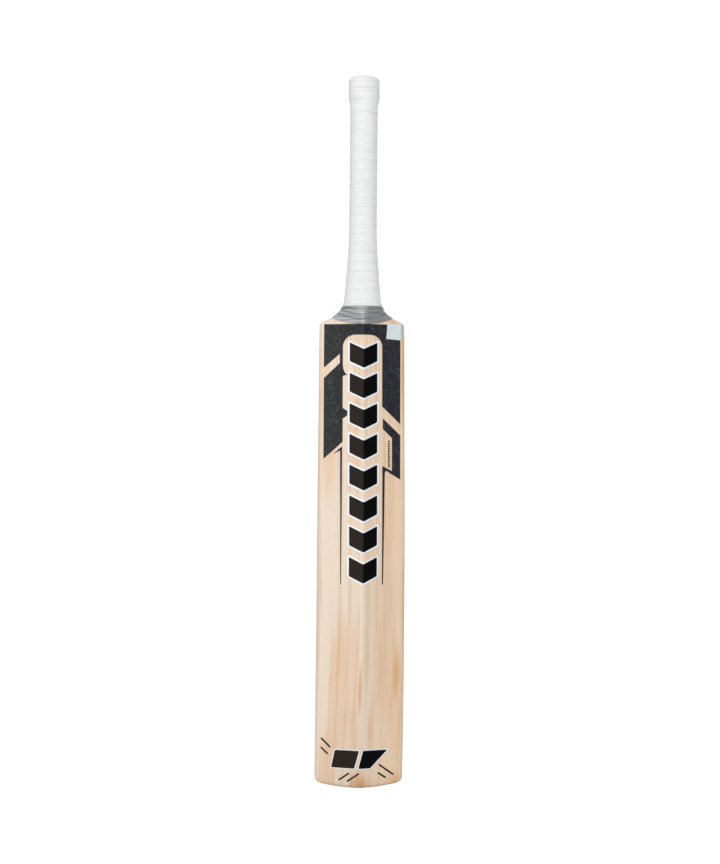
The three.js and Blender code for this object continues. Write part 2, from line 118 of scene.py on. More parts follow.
class Finish:
    # one material: a Principled shader, its fixed sockets, and the nodes that vary it
    def __init__(self, name, fixed=None):
        self.material = bpy.data.materials.new(name)
        self.material.use_nodes = True
        self.tree = self.material.node_tree
        self.tree.nodes.clear()
        self.shader = self.tree.nodes.new("ShaderNodeBsdfPrincipled")
        self.output = self.tree.nodes.new("ShaderNodeOutputMaterial")
        self.tree.links.new(self.shader.outputs[0], self.output.inputs[0])
        self.put(fixed or {})

    def put(self, sockets):
        for name, value in sockets.items():
            self.plug(self.shader.inputs[name], value)

    def plug(self, socket, value):
        if isinstance(value, Value):
            self.tree.links.new(value.socket, socket)
        elif isinstance(value, tuple) and len(value) == 3 and socket.type == "RGBA":
            socket.default_value = (*value, 1)
        else:
            socket.default_value = value

    def node(self, kind, inputs=None, output=0, **settings):
        made = self.tree.nodes.new("ShaderNode" + kind)
        for name, value in settings.items():
            setattr(made, name, value)
        for name, value in (inputs or {}).items():
            self.plug(made.inputs[name], value)
        return Value(self, made.outputs[output])

    def maths(self, operation, *values):
        return self.node("Math", dict(enumerate(values)), operation=operation)

    def mix(self, factor, first, second, blend="MIX"):
        inputs = {0: factor, 6: first, 7: second}
        return self.node("Mix", inputs, output=2, data_type="RGBA", blend_type=blend)

    def ranged(self, value, low, high, to=(0, 1)):
        inputs = {0: value, 1: low, 2: high, 3: to[0], 4: to[1]}
        return self.node("MapRange", inputs, interpolation_type="SMOOTHSTEP")

    def place(self):
        return self.node("TexCoord", output="Object")

    def parts(self, vector):
        return [self.node("SeparateXYZ", {0: vector}, output=axis) for axis in "XYZ"]

    def joined(self, x, y, z):
        return self.node("CombineXYZ", {0: x, 1: y, 2: z})

    def noise(self, vector, scale=1, detail=2, roughness=0.5):
        inputs = {"Vector": vector, "Scale": scale, "Detail": detail, "Roughness": roughness}
        return self.node("TexNoise", inputs)

    def blend(self, factor, other):
        # lays another shader over this one
        self.show(self.node("MixShader", {0: factor, 1: Value(self, self.shader.outputs[0]), 2: other}))

    def show(self, shader):
        self.plug(self.output.inputs[0], shader)

    def bump(self, height, distance, strength):
        return self.node("Bump", {"Height": height, "Distance": distance, "Strength": strength})


class Air(Finish):
    # the studio's surroundings, made with the same nodes
    def __init__(self, name):
        self.world = bpy.data.worlds.new(name)
        self.world.use_nodes = True
        self.tree = self.world.node_tree
        self.tree.nodes.clear()
        self.output = self.tree.nodes.new("ShaderNodeOutputWorld")


willow = {
    "cream": (0.835, 0.695, 0.56),
    # tan is the right half's colour: partly the wood's own tone, partly painted shade
    "tan": (0.78, 0.56, 0.365),
    "warm": (0.79, 0.54, 0.35),
    "ringColour": (0.60, 0.36, 0.19),
    "ringSpacing": 0.0108,
    "ringStrength": 0.85,
    "stainColour": (0.66, 0.34, 0.13),
    # across, height above the toe, half width, half height (mm) and strength
    "stains": [
        (-1, 122, 2.6, 34, 0.75),
        (12, 72, 3, 30, 0.4),
        (43, 140, 5, 34, 0.7),
        (2, 6, 13, 14, 0.8),
        (50.5, 505, 4.5, 75, 0.7),
        (38, 561, 7, 3, 0.5),
        (50, 220, 4, 60, 0.4),
        (-26, 190, 5, 60, 0.25),
        (44, 8, 9, 16, 0.55),
        (22, 150, 4, 60, 0.22),
        (-16, 90, 3, 60, 0.15),
    ],
}


def makeWillow():
    made = Finish("willow", {"Coat Weight": 0.12, "Coat Roughness": 0.35})
    place = made.place()
    x, y, z = made.parts(place)
    drift = made.noise(made.joined(x * 3, y * 3, z * 2.4), 1, 1) - 0.5
    across = x + drift * 0.016 + y * 0.06
    spread = made.noise(made.joined(across * 42, y * 6, z * 0.9), 1, 1)
    rings = made.maths("FRACT", across / willow["ringSpacing"] + spread * 1.1 + 40)
    ring = rings ** 6 * (1 - made.ranged(rings, 0.95, 1))
    ring = ring * made.ranged(made.noise(made.joined(across * 60, 0, z * 6), 1, 2), 0.38, 0.66)
    streak = made.noise(made.joined(across * 150, y * 50, z * 3), 1, 3, 0.5)
    fibre = made.noise(made.joined(across * 1500, y * 1500, z * 22), 1, 2)
    patch = made.noise(made.joined(across * 46, y * 12, z * 5), 1, 3, 0.45)
    # the right half is mixed towards tan: partly the wood's own tone, partly painted shade on the side
    # away from the light
    side = made.ranged(x + (patch - 0.5) * 0.05, -0.022, 0.034)
    colour = made.mix(side * 0.6, willow["cream"], willow["tan"])
    colour = made.mix(made.ranged(patch, 0.44, 0.66) * 0.75, colour, willow["warm"])
    colour = made.mix(ring * willow["ringStrength"], colour, willow["ringColour"])
    colour = made.mix(made.ranged(streak, 0.52, 0.78) * 0.32, colour, willow["ringColour"])
    stain = 0
    for left, height, halfWidth, halfHeight, strength in willow["stains"]:
        away = made.joined(
            (x + drift * 0.006 - left * mm) / (halfWidth * mm),
            0,
            (z - (toe + height * mm)) / (halfHeight * mm),
        )
        far = made.node("VectorMath", {0: away}, output="Value", operation="LENGTH")
        spot = made.ranged(far + (streak - 0.5) * 1.6, 1.25, 0.1) * strength
        stain = made.maths("MAXIMUM", stain, spot)
    colour = made.mix(stain, colour, willow["stainColour"])
    fine = fibre * 0.36 + 0.82
    colour = made.mix(0.6, colour, made.joined(fine, fine, fine), "MULTIPLY")
    made.put(
        {
            "Base Color": colour,
            "Roughness": 0.46 + fibre * 0.14,
            "Normal": made.bump(fibre * 0.6 - ring * 0.4, 0.00008, 0.6),
        }
    )
    return made.material


caneLook = {
    "band": (0.82, 0.62, 0.46),
    "paleBand": (0.86, 0.69, 0.54),
    "fibre": (0.60, 0.42, 0.24),
    "dash": (0.30, 0.17, 0.07),
}


def makeCane():
    made = Finish("cane")
    x, y, z = made.parts(made.place())
    fibre = made.noise(made.joined(x * 2400, y * 2400, z * 26), 1, 3, 0.6)
    band = made.noise(made.joined(x * 300, y * 300, z * 5), 1, 2)
    dash = made.ranged(made.noise(made.joined(x * 1500, y * 1500, z * 60), 1, 1), 0.66, 0.74)
    colour = made.mix(band, caneLook["band"], caneLook["paleBand"])
    colour = made.mix(made.ranged(fibre, 0.35, 0.7) * 0.25, colour, caneLook["fibre"])
    colour = made.mix(dash * 0.5, colour, caneLook["dash"])
    made.put(
        {
            "Base Color": colour,
            "Roughness": 0.5 + fibre * 0.25,
            "Normal": made.bump(fibre, 0.0001, 0.7),
        }
    )
    return made.material


def makeSpringRubber():
    made = Finish("springRubber")
    grit = made.noise(made.place(), 1800, 3, 0.6)
    made.put(
        {
            "Base Color": made.mix(grit, (0.018, 0.015, 0.013), (0.05, 0.043, 0.038)),
            "Roughness": 0.7 + grit * 0.2,
            "Normal": made.bump(grit, 0.00006, 0.6),
        }
    )
    return made.material


twineLook = {"groove": (0.44, 0.38, 0.28), "thread": (0.72, 0.66, 0.53), "dirt": (0.40, 0.30, 0.18)}


def makeTwine():
    made = Finish("twine", {"Sheen Weight": 0.25})
    u, v, w = made.parts(made.node("UVMap", uv_map="wrap"))
    twist = made.maths("SINE", u * 5200 + v * 1900) * 0.5 + 0.5
    dirt = made.noise(made.place(), 60, 3)
    colour = made.mix(twist, twineLook["groove"], twineLook["thread"])
    made.put(
        {
            "Base Color": made.mix(made.ranged(dirt, 0.5, 0.8) * 0.5, colour, twineLook["dirt"]),
            "Roughness": 0.72 + twist * 0.15,
            "Normal": made.bump(twist, 0.00012, 0.8),
        }
    )
    return made.material


gripLook = {
    "colour": (0.83, 0.832, 0.822),
    "worn": (0.73, 0.735, 0.73),
    "dotSpacing": 0.0014,
}


def makeGripRubber():
    made = Finish("gripRubber", {"Specular IOR Level": 0.4})
    u, v, w = made.parts(made.node("UVMap", uv_map="wrap"))
    turns = 2 * math.pi / gripLook["dotSpacing"]
    dots = made.maths("SINE", u * turns) * made.maths("SINE", v * turns)
    dots = made.ranged(dots, 0.1, 0.9)
    tone = made.noise(made.joined(u * 30, v * 90, 0), 1, 3)
    speck = made.noise(made.place(), 2600, 2)
    dull = made.ranged(tone, 0.45, 0.75) * 0.3
    made.put(
        {
            "Base Color": made.mix(dull, gripLook["colour"], gripLook["worn"]),
            "Roughness": 0.5 + tone * 0.2,
            "Normal": made.bump(dots + speck * 0.3, 0.00016, 0.5),
        }
    )
    return made.material


# the finish paints a shadow line under each turn's edge, so the tape's sizes come before it
tape = {
    "lowest": 558.4,
    "top": 579.7,
    "rises": [0.0054, 0.0086, 0.0084, 0.006],  # how fast each lower edge climbs, per mm squared
    "edges": [0, 6.4, 12.4, 17.6],  # each turn's lower edge above the lowest
    "thickness": 0.62,
    "skin": 0.32,
    "filling": 2,  # how far the tape bridges the hollow beside the horn
    "fillingFrom": 563,
    "fillingTo": 574,
    "edgeWander": 0.5,
    "crease": 0.12,
    # painted shade: how strongly the top band, the right side and the line under each turn's edge are
    # darkened
    "topShade": 0.3,
    "rightShade": 0.5,
    "edgeShadow": 0.75,
}


def makeTapeCloth():
    made = Finish("tapeCloth", {"Sheen Weight": 0.2, "Specular IOR Level": 0.6})
    u, v, w = made.parts(made.node("UVMap", uv_map="wrap"))
    weave = made.maths("SINE", u * 12000) * made.maths("SINE", v * 12000) * 0.5 + 0.5
    streak = made.noise(made.joined(u * 26, v * 420, 0), 1, 3)
    # the streaks run from grey to pale: partly the tape's own streaky tone, partly painted sheen
    colour = made.mix(made.ranged(streak, 0.3, 0.7), (0.29, 0.29, 0.30), (0.68, 0.68, 0.69))
    x, y, height = made.parts(made.place())
    # painted shade: the top band under the grip, the right side and a shadow line under each turn's
    # lower edge are darkened towards dark grey
    shade = made.ranged(height, toe + 0.573, toe + 0.58) * tape["topShade"]
    shade = made.maths("MAXIMUM", shade, made.ranged(x, 0.0005, 0.008) * tape["rightShade"])
    for rise, edge in zip(tape["rises"][1:], tape["edges"][1:]):
        below = toe + (tape["lowest"] + edge) * mm + x * x * (rise / mm) - height
        line = made.ranged(below, 0.0016, 0.0002) * (below > 0)
        shade = made.maths("MAXIMUM", shade, line * tape["edgeShadow"])
    colour = made.mix(shade, colour, (0.07, 0.07, 0.075))
    made.put(
        {
            "Base Color": made.mix(weave * 0.3, colour, (0.16, 0.16, 0.17)),
            "Metallic": 0.25 + streak * 0.2,
            "Roughness": 0.36 + weave * 0.14,
            "Normal": made.bump(weave, 0.00008, 0.5),
        }
    )
    return made.material


# left is painted sheen: lighter and greener than right
panelLook = {
    "left": (0.015, 0.0172, 0.0172),
    "right": (0.009, 0.009, 0.017),
    "mark": (0.12, 0.125, 0.125),
    "cellSize": 0.003,
}


def makePanelFilm():
    made = Finish("panelFilm", {"Specular IOR Level": 0.25})
    place = made.place()
    warp = made.noise(place, 160, 2)
    x, y, z = made.parts(place)
    bent = made.joined(x + (warp - 0.5) * 0.006, 0, z * 0.8 - (warp - 0.5) * 0.006)
    crack = made.node(
        "TexVoronoi",
        {"Vector": bent, "Scale": 1 / panelLook["cellSize"]},
        output="Distance",
        feature="DISTANCE_TO_EDGE",
    )
    line = made.ranged(crack, 0.1, 0.02)
    cloud = made.noise(place, 170, 2)
    speck = made.ranged(made.noise(place, 1400, 1), 0.62, 0.7)
    mark = made.maths("MAXIMUM", line * 0.7 * made.ranged(cloud, 0.3, 0.7), speck * 0.3)
    # painted sheen: the film's left half is coloured lighter than its right half
    colour = made.mix(made.ranged(x, -0.001, 0.003), panelLook["left"], panelLook["right"])
    made.put(
        {
            "Base Color": made.mix(mark * 0.6, colour, panelLook["mark"]),
            "Roughness": 0.5 - mark * 0.1,
            "Normal": made.bump(mark, 0.00005, 0.5),
        }
    )
    return made.material


# painted sheen: the black film's left colour is a lit brown-black, its right colour the plain black
blackLook = {
    "left": (0.026, 0.0195, 0.0165),
    "right": (0.0012, 0.0012, 0.0012),
    "roughness": 0.5,
    "gloss": 0.06,
}
# painted shade: the pale film's right colour is a greyer blue than its left
paleLook = {
    "left": (0.93, 0.93, 0.94),
    "right": (0.80, 0.83, 0.90),
    "roughness": 0.4,
    "gloss": 0.5,
}


def makePlainFilm(name, look):
    made = Finish(name, {"Specular IOR Level": look["gloss"]})
    place = made.place()
    x, y, z = made.parts(place)
    cloud = made.noise(place, 70, 3)
    grain = made.noise(place, 2200, 2)
    # painted light: each film is mixed from its left colour to its right colour across the spine, so the
    # left half reads lit and the right half shaded
    side = made.ranged(x + (cloud - 0.5) * 0.002, -0.002, 0.003)
    made.put(
        {
            "Base Color": made.mix(side, look["left"], look["right"]),
            "Roughness": look["roughness"] + grain * 0.1,
            "Normal": made.bump(grain, 0.00002, 0.4),
        }
    )
    return made.material


foilLook = {
    "mint": (0.76, 0.88, 0.86),
    "silver": (0.90, 0.92, 0.91),
    "cloud": (0.70, 0.78, 0.80),
    "strip": (0.30, 0.72, 0.70),
    "stripFrom": 0.0462,
}


def makeHologramFoil():
    made = Finish("hologramFoil", {"Coat Weight": 0.5, "Coat Roughness": 0.15})
    x, y, z = made.parts(made.place())
    shift = made.noise(made.joined(x * 160, 0, z * 160), 1, 2)
    sweep = made.maths("FRACT", (x + z) * 60 + shift)
    wave = made.maths("ABSOLUTE", sweep - 0.5) * 2
    fine = made.maths("SINE", x * 9000) * made.maths("SINE", z * 9000) * 0.5 + 0.5
    colour = made.mix(made.ranged(wave, 0.1, 0.9), foilLook["mint"], foilLook["silver"])
    colour = made.mix(made.ranged(shift, 0.55, 0.75) * 0.5, colour, foilLook["cloud"])
    strip = made.ranged(x, foilLook["stripFrom"], foilLook["stripFrom"] + 0.001)
    colour = made.mix(strip, colour, foilLook["strip"])
    made.put(
        {
            "Base Color": colour,
            "Metallic": 0.3 + wave * 0.3,
            "Roughness": 0.26 + fine * 0.1,
            "Normal": made.bump(fine, 0.00001, 0.5),
        }
    )
    return made.material


willowWood = makeWillow()
caneWood = makeCane()
springRubber = makeSpringRubber()
twineThread = makeTwine()
gripRubber = makeGripRubber()
tapeCloth = makeTapeCloth()
panelFilm = makePanelFilm()
blackFilm = makePlainFilm("blackFilm", blackLook)
paleFilm = makePlainFilm("paleFilm", paleLook)
hologramFoil = makeHologramFoil()
print("finishes made")


wood = {
    # lengths in mm, and places as shares of the blade's length
    "bladeLength": 562,
    "toeWidth": 106,
    "shoulderWidth": 102.6,
    "toeDepth": 22,
    "shoulderDepth": 38,
    "swellDepth": 34,
    "toeEdge": 17,
    "shoulderEdge": 19,
    "swellEdge": 20,
    "swellPlace": 0.38,
    "swellSharpness": 1.2,
    "faceOut": 17,
    "bowDepth": 5.5,
    "bowToe": 0.2,
    "bowShoulder": 0.52,
    "toeBowShare": 0.45,
    "backHollow": 0.32,
    "ridgeRounding": 0.035,
    "faceCornerRadius": 7,
    "backCornerRadius": 6,
    "backCornerTurn": math.radians(70),
    "toeCrown": 6.6,
    "toeCrownHeight": 60,
    "toeCornerRadius": 7.5,
    "toeEdgeRadius": 5,
    "shoulderCurve": 1.6,
    "shoulderRounding": 3,
    "shoulderDrop": 2,
    "caneRadius": 13.5,
    "caneBaseHalfWidth": 19.7,
    "caneBaseHalfDepth": 17.3,
    "flareLength": 90,
    "flarePower": 1.4,
    "hornTop": 581,
    "hornThickness": 1.4,
    "spliceBottom": 453,
    "spliceTipHalfWidth": 3.5,
    "glueLine": 0.2,
    "roundFrom": 560,
    "roundTo": 583,
}


def lerp(low, high, share):
    return low + (high - low) * share


def clamp(value, low=0, high=1):
    return min(max(value, low), high)


def smoothstep(value, low, high):
    share = clamp((value - low) / (high - low))
    return share * share * (3 - 2 * share)


def swellAt(height):
    share = clamp(height / wood["bladeLength"]) ** (math.log(0.5) / math.log(wood["swellPlace"]))
    return max(math.sin(math.pi * share), 0) ** wood["swellSharpness"]


def spineDepthAt(height):
    share = clamp(height / wood["bladeLength"])
    return lerp(wood["toeDepth"], wood["shoulderDepth"], share) + wood["swellDepth"] * swellAt(height)


def edgeDepthAt(height):
    share = clamp(height / wood["bladeLength"])
    return lerp(wood["toeEdge"], wood["shoulderEdge"], share) + wood["swellEdge"] * swellAt(height)


def faceAt(height):
    share = clamp(height / wood["bladeLength"])
    fromToe = lerp(wood["toeBowShare"], 1, smoothstep(share, 0, wood["bowToe"]))
    toShoulder = 1 - smoothstep(share, wood["bowShoulder"], 1)
    return wood["faceOut"] - wood["bowDepth"] * fromToe * toShoulder


def flareAt(height):
    return clamp(1 - (height - wood["hornTop"]) / wood["flareLength"]) ** wood["flarePower"]


def caneHalfWidthAt(height):
    return lerp(wood["caneRadius"], wood["caneBaseHalfWidth"], flareAt(height))


def halfWidthAt(height):
    hornTop = wood["hornTop"]
    if height > hornTop:
        above = min((height - hornTop) / wood["hornThickness"], 1)
        return caneHalfWidthAt(height) + wood["hornThickness"] * (1 - above)
    side = lerp(wood["toeWidth"], wood["shoulderWidth"], clamp(height / wood["bladeLength"])) / 2
    start = wood["bladeLength"] - wood["shoulderDrop"]
    along = (hornTop - height) / (hornTop - start)
    horn = wood["caneBaseHalfWidth"] + wood["hornThickness"]
    shoulder = horn + (wood["shoulderWidth"] / 2 - horn) * along ** wood["shoulderCurve"]
    apart = math.hypot(side - shoulder, wood["shoulderRounding"] * min(along, 1))
    return (side + shoulder - apart) / 2


def endInset(height, radius):
    left = max(radius - height, 0)
    return radius - math.sqrt(max(radius * radius - left * left, 0))


# A point of half the blade's section. stretch is 0 on the face, 1 at the face's corner, 2 on the
# edge, 3 at the back's corner and 4 on the back, and share runs along it.
def bladePoint(height, stretch, share):
    width = halfWidthAt(height) - endInset(height, wood["toeCornerRadius"])
    inset = endInset(height, wood["toeEdgeRadius"])
    face = faceAt(height) - inset
    spine = faceAt(height) - spineDepthAt(height) + inset
    back = faceAt(height) - edgeDepthAt(height) + inset
    faceCorner = min(wood["faceCornerRadius"], 0.45 * (face - back))
    backCorner = min(wood["backCornerRadius"], 0.45 * (face - back))
    if stretch == 0:
        return share * (width - faceCorner), face
    if stretch == 1:
        turn = math.pi / 2 * (1 - share)
        return width - faceCorner * (1 - math.cos(turn)), face - faceCorner * (1 - math.sin(turn))
    if stretch == 2:
        return width, lerp(face - faceCorner, back + backCorner, share)
    turn = wood["backCornerTurn"] * (share if stretch == 3 else 1)
    edgeX = width - backCorner * (1 - math.cos(turn))
    edgeY = back + backCorner * (1 - math.sin(turn))
    if stretch == 3:
        return edgeX, edgeY
    blunt = wood["ridgeRounding"]
    across = 1 - share
    rise = (math.hypot(across, blunt) - blunt) / (math.hypot(1, blunt) - blunt)
    hollow = wood["backHollow"]
    return edgeX * across, lerp(spine, edgeY, (1 + hollow) * rise - hollow * rise * rise)


stretchEnds = [0, 0.2, 0.3, 0.36, 0.46, 1]  # as shares of the way from the face's middle to the spine


def woodPoint(height, stretch, share):
    x, y = bladePoint(height, stretch, share)
    roundness = smoothstep(height, wood["roundFrom"], wood["roundTo"])
    if roundness == 0:
        return x, y
    turn = math.pi * (0.5 - lerp(stretchEnds[stretch], stretchEnds[stretch + 1], share))
    halfDepth = lerp(wood["caneRadius"], wood["caneBaseHalfDepth"], flareAt(height))
    oval = halfWidthAt(height) * math.cos(turn), halfDepth * math.sin(turn)
    return lerp(x, oval[0], roundness), lerp(y, oval[1], roundness)


def halfPlaces(steps):
    # steps in each stretch; on the back they close up towards the spine
    places = [(0, 0)]
    for stretch, count in enumerate(steps):
        for i in range(1, count + 1):
            share = i / count
            places.append((stretch, 1 - (1 - share) ** 1.6 if stretch == 4 else share))
    return places


bladePlaces = halfPlaces([9, 7, 4, 8, 26])
ovalPlaces = halfPlaces([10, 5, 3, 5, 25])


def sectionAt(height, places, skin=0):
    # the whole section, clockwise from the middle of the face, moved outwards by skin
    half = [woodPoint(height, *place) for place in places]
    loop = half + [(-x, y) for x, y in reversed(half[1:-1])]
    if skin == 0:
        return loop
    moved = []
    for i, (x, y) in enumerate(loop):
        before = loop[i - 1]
        after = loop[(i + 1) % len(loop)]
        dx, dy = after[0] - before[0], after[1] - before[1]
        length = math.hypot(dx, dy)
        moved.append((x - dy / length * skin, y + dx / length * skin))
    return moved


def crownAt(x, height):
    fade = max(1 - height / wood["toeCrownHeight"], 0) ** 2
    return wood["toeCrown"] * (x / (wood["toeWidth"] / 2)) ** 2 * fade


def spaced(start, end, pitch):
    steps = max(round(abs(end - start) / pitch), 1)
    return [lerp(start, end, i / steps) for i in range(steps + 1)]


def tube(around, rows, pointAt, joined=False):
    # a tube whose point at (row, step) is pointAt's, in mm, with a "wrap" map in metres; joined
    # means that its last row comes back inside the first and the two are bridged
    mesh = bmesh.new()
    bmesh.ops.create_cone(mesh, segments=around, radius1=1, radius2=1, depth=1)
    upright = [e for e in mesh.edges if abs(e.verts[0].co.z - e.verts[1].co.z) > 0.5]
    bmesh.ops.subdivide_edges(mesh, edges=upright, cuts=rows - 1, use_grid_fill=True)
    spots = {}
    for vert in mesh.verts:
        row = round((vert.co.z + 0.5) * rows)
        step = round(math.atan2(vert.co.x, vert.co.y) / (2 * math.pi) * around) % around
        spots[vert] = (row, step)
    wrap = mesh.loops.layers.uv.new("wrap")
    places = {}
    for vert, (row, step) in spots.items():
        x, y, height = pointAt(row, step)
        vert.co = (x * mm, y * mm, toe + height * mm)
        places[vert] = height * mm
    for face in mesh.faces:
        steps = [spots[loop.vert][1] for loop in face.loops]
        for loop, step in zip(face.loops, steps):
            if max(steps) - min(steps) > around / 2 and step < around / 2:
                step += around
            loop[wrap].uv = (step / around * 0.11, places[loop.vert])
    if joined:
        bmesh.ops.bridge_loops(mesh, edges=[e for e in mesh.edges if e.is_boundary])
    return mesh


def closeEnd(mesh, height, ribs=False):
    # fills the open end at this height; ribs join its left and right sides
    level = toe + height * mm
    edges = [e for e in mesh.edges if e.is_boundary]
    rim = [e for e in edges if abs(sum(v.co.z for v in e.verts) / 2 - level) < 0.01]
    verts = list({v for e in rim for v in e.verts})
    bmesh.ops.contextual_create(mesh, geom=rim)
    if ribs:
        right = sorted((v for v in verts if v.co.x > 1e-6), key=lambda v: -v.co.y)
        left = sorted((v for v in verts if v.co.x < -1e-6), key=lambda v: -v.co.y)
        for a, b in zip(right, left):
            bmesh.ops.connect_verts(mesh, verts=[a, b])


def cutOff(mesh, point, normal):
    # cuts away what is on the normal's side of a plane and closes the cut
    bmesh.ops.bisect_plane(
        mesh,
        geom=mesh.verts[:] + mesh.edges[:] + mesh.faces[:],
        plane_co=point,
        plane_no=normal,
        clear_outer=True,
    )
    rim = [e for e in mesh.edges if e.is_boundary]
    if rim:
        bmesh.ops.holes_fill(mesh, edges=rim)


def finishPiece(mesh, name, material, slot, *replaced, sharp=35):
    bmesh.ops.remove_doubles(mesh, verts=mesh.verts[:], dist=1e-7)
    bmesh.ops.recalc_face_normals(mesh, faces=mesh.faces[:])
    for face in mesh.faces:
        face.smooth = True
    data = bpy.data.meshes.new(name)
    mesh.to_mesh(data)
    mesh.free()
    data.set_sharp_from_angle(angle=math.radians(sharp))
    data.materials.append(material)
    piece = bpy.data.objects.new(name, data)
    bpy.context.scene.collection.objects.link(piece)
    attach(piece, "root")
    if replaced:
        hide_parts(*replaced)
    return piece


def wedgePlanes(fit):
    # the splice's two slanted sides and its foot: a point and the way out of the V
    tip = wood["spliceTipHalfWidth"] + fit
    top = wood["caneBaseHalfWidth"] + fit
    bottom = wood["spliceBottom"] - fit
    rise = wood["hornTop"] - bottom
    outwards = Vector((rise, 0, tip - top)).normalized()
    planes = [(Vector((0, 0, toe + bottom * mm)), Vector((0, 0, -1)))]
    for side in (1, -1):
        point = Vector((side * tip * mm, 0, toe + bottom * mm))
        planes.append((point, Vector((side * outwards.x, 0, outwards.z))))
    return planes


bladeHeights = (
    [0, 0.12, 0.4, 0.8, 1.3, 1.9, 2.6, 3.4, 4.3, 5.3, 6.5, 8, 10]
    + spaced(12.5, 556, 4)
    + spaced(557, wood["hornTop"], 1)
)


def makeWood(heights, places):
    sections = [sectionAt(height, places) for height in heights]

    def pointAt(row, step):
        x, y = sections[row][step]
        return x, y, heights[row] + crownAt(x, heights[row])

    return tube(len(sections[0]), len(heights) - 1, pointAt)


def makeBlade():
    mesh = makeWood(bladeHeights, bladePlaces)
    closeEnd(mesh, 0, ribs=True)
    closeEnd(mesh, wood["hornTop"])
    blade = finishPiece(mesh, "willowBlade", willowWood, "willow", "blade")
    wedge = bmesh.new()
    bmesh.ops.create_cube(wedge, size=1)
    tip = wood["spliceTipHalfWidth"] + wood["glueLine"]
    top = wood["caneBaseHalfWidth"] + wood["glueLine"]
    bottom = wood["spliceBottom"] - wood["glueLine"]
    slope = (top - tip) / (wood["hornTop"] - bottom)
    for vert in wedge.verts:
        height = bottom if vert.co.z < 0 else wood["hornTop"] + 10
        half = tip + slope * (height - bottom)
        vert.co = (math.copysign(half * mm, vert.co.x), vert.co.y * 0.2, toe + height * mm)
    data = bpy.data.meshes.new("wedge")
    wedge.to_mesh(data)
    wedge.free()
    cutter = bpy.data.objects.new("wedge", data)
    bpy.context.scene.collection.objects.link(cutter)
    slot = blade.modifiers.new("splice", "BOOLEAN")
    slot.object = cutter
    slot.operation = "DIFFERENCE"
    slot.solver = "EXACT"
    applyModifiers(blade)
    bpy.data.objects.remove(cutter)
    blade.data.set_sharp_from_angle(angle=math.radians(35))
    return blade


def applyModifiers(piece):
    bpy.context.view_layer.update()
    shaped = piece.evaluated_get(bpy.context.evaluated_depsgraph_get())
    data = bpy.data.meshes.new_from_object(shaped)
    piece.modifiers.clear()
    piece.data = data


makeBlade()
print("blade made")


handle = {
    "caneTop": 854,
    "slabs": 4,
    "strips": 3,
    "springThickness": 1.6,
    "glueLine": 0.3,
    "seam": 0.15,
}


def makeHandle():
    caneTop = handle["caneTop"]
    heights = spaced(wood["spliceBottom"] - 6, 581, 4) + [581.7, 582.4, 584] + spaced(590, 672, 8)
    whole = makeWood(heights + [700, 760, 820, caneTop], bladePlaces)
    closeEnd(whole, heights[0])
    closeEnd(whole, caneTop)
    for point, normal in wedgePlanes(0):
        cutOff(whole, point, normal)
    gap = handle["springThickness"] + 2 * handle["glueLine"]
    slab = (2 * wood["caneRadius"] - (handle["slabs"] - 1) * gap) / handle["slabs"]
    strip = 2 * wood["caneRadius"] / handle["strips"]
    far = 500

    def cell(name, material, slot, xRange, yRange, node):
        mesh = whole.copy()
        for axis, (low, high) in ((0, xRange), (1, yRange)):
            normal = Vector((axis == 0, axis == 1, 0))
            if abs(low) < far:
                cutOff(mesh, normal * low * mm, -normal)
            if abs(high) < far:
                cutOff(mesh, normal * high * mm, normal)
        finishPiece(mesh, name, material, slot, node, sharp=25)

    for i in range(handle["slabs"]):
        front = wood["caneRadius"] - i * (slab + gap)
        back = front - slab
        yRange = (-far if i == handle["slabs"] - 1 else back, far if i == 0 else front)
        for j in range(handle["strips"]):
            left = -wood["caneRadius"] + j * strip + handle["seam"] / 2
            right = left + strip - handle["seam"]
            xRange = (-far if j == 0 else left, far if j == handle["strips"] - 1 else right)
            node = f"cane_slab_{i + 1}_strip_{j + 1}"
            cell(f"caneStrip{i + 1}{j + 1}", caneWood, "cane", xRange, yRange, node)
        if i < handle["slabs"] - 1:
            top = back - handle["glueLine"]
            yRange = (top - handle["springThickness"], top)
            node = f"rubber_spring_{i + 1}"
            cell(f"rubberSpring{i + 1}", springRubber, "spring_rubber", (-far, far), yRange, node)
    whole.free()


makeHandle()
print("handle made")


twine = {"from": 584, "to": 852, "skin": 0.3, "thickness": 0.8, "pitch": 1.25}


def makeTwineBinding():
    around = 40
    places = halfPlaces([4, 2, 1, 2, 11])
    rows = round((twine["to"] - twine["from"]) / twine["pitch"] * 4)
    heights = [lerp(twine["from"], twine["to"], row / rows) for row in range(rows + 1)]
    low = [sectionAt(height, places, twine["skin"]) for height in heights]
    high = [sectionAt(height, places, twine["skin"] + twine["thickness"]) for height in heights]

    inside = spaced(twine["to"], twine["from"], 10)
    lining = [sectionAt(height, places, twine["skin"]) for height in inside]

    def pointAt(row, step):
        if row > rows:
            x, y = lining[row - rows - 1][step]
            return x, y, inside[row - rows - 1]
        turns = (heights[row] - twine["from"]) / twine["pitch"] + step / around
        swell = 0.45 + 0.55 * abs(math.sin(math.pi * turns))
        x, y = (lerp(a, b, swell) for a, b in zip(low[row][step], high[row][step]))
        return x, y, heights[row]

    mesh = tube(around, rows + len(inside), pointAt, joined=True)
    finishPiece(mesh, "twineBinding", twineThread, "twine", "handle_twine", sharp=80)


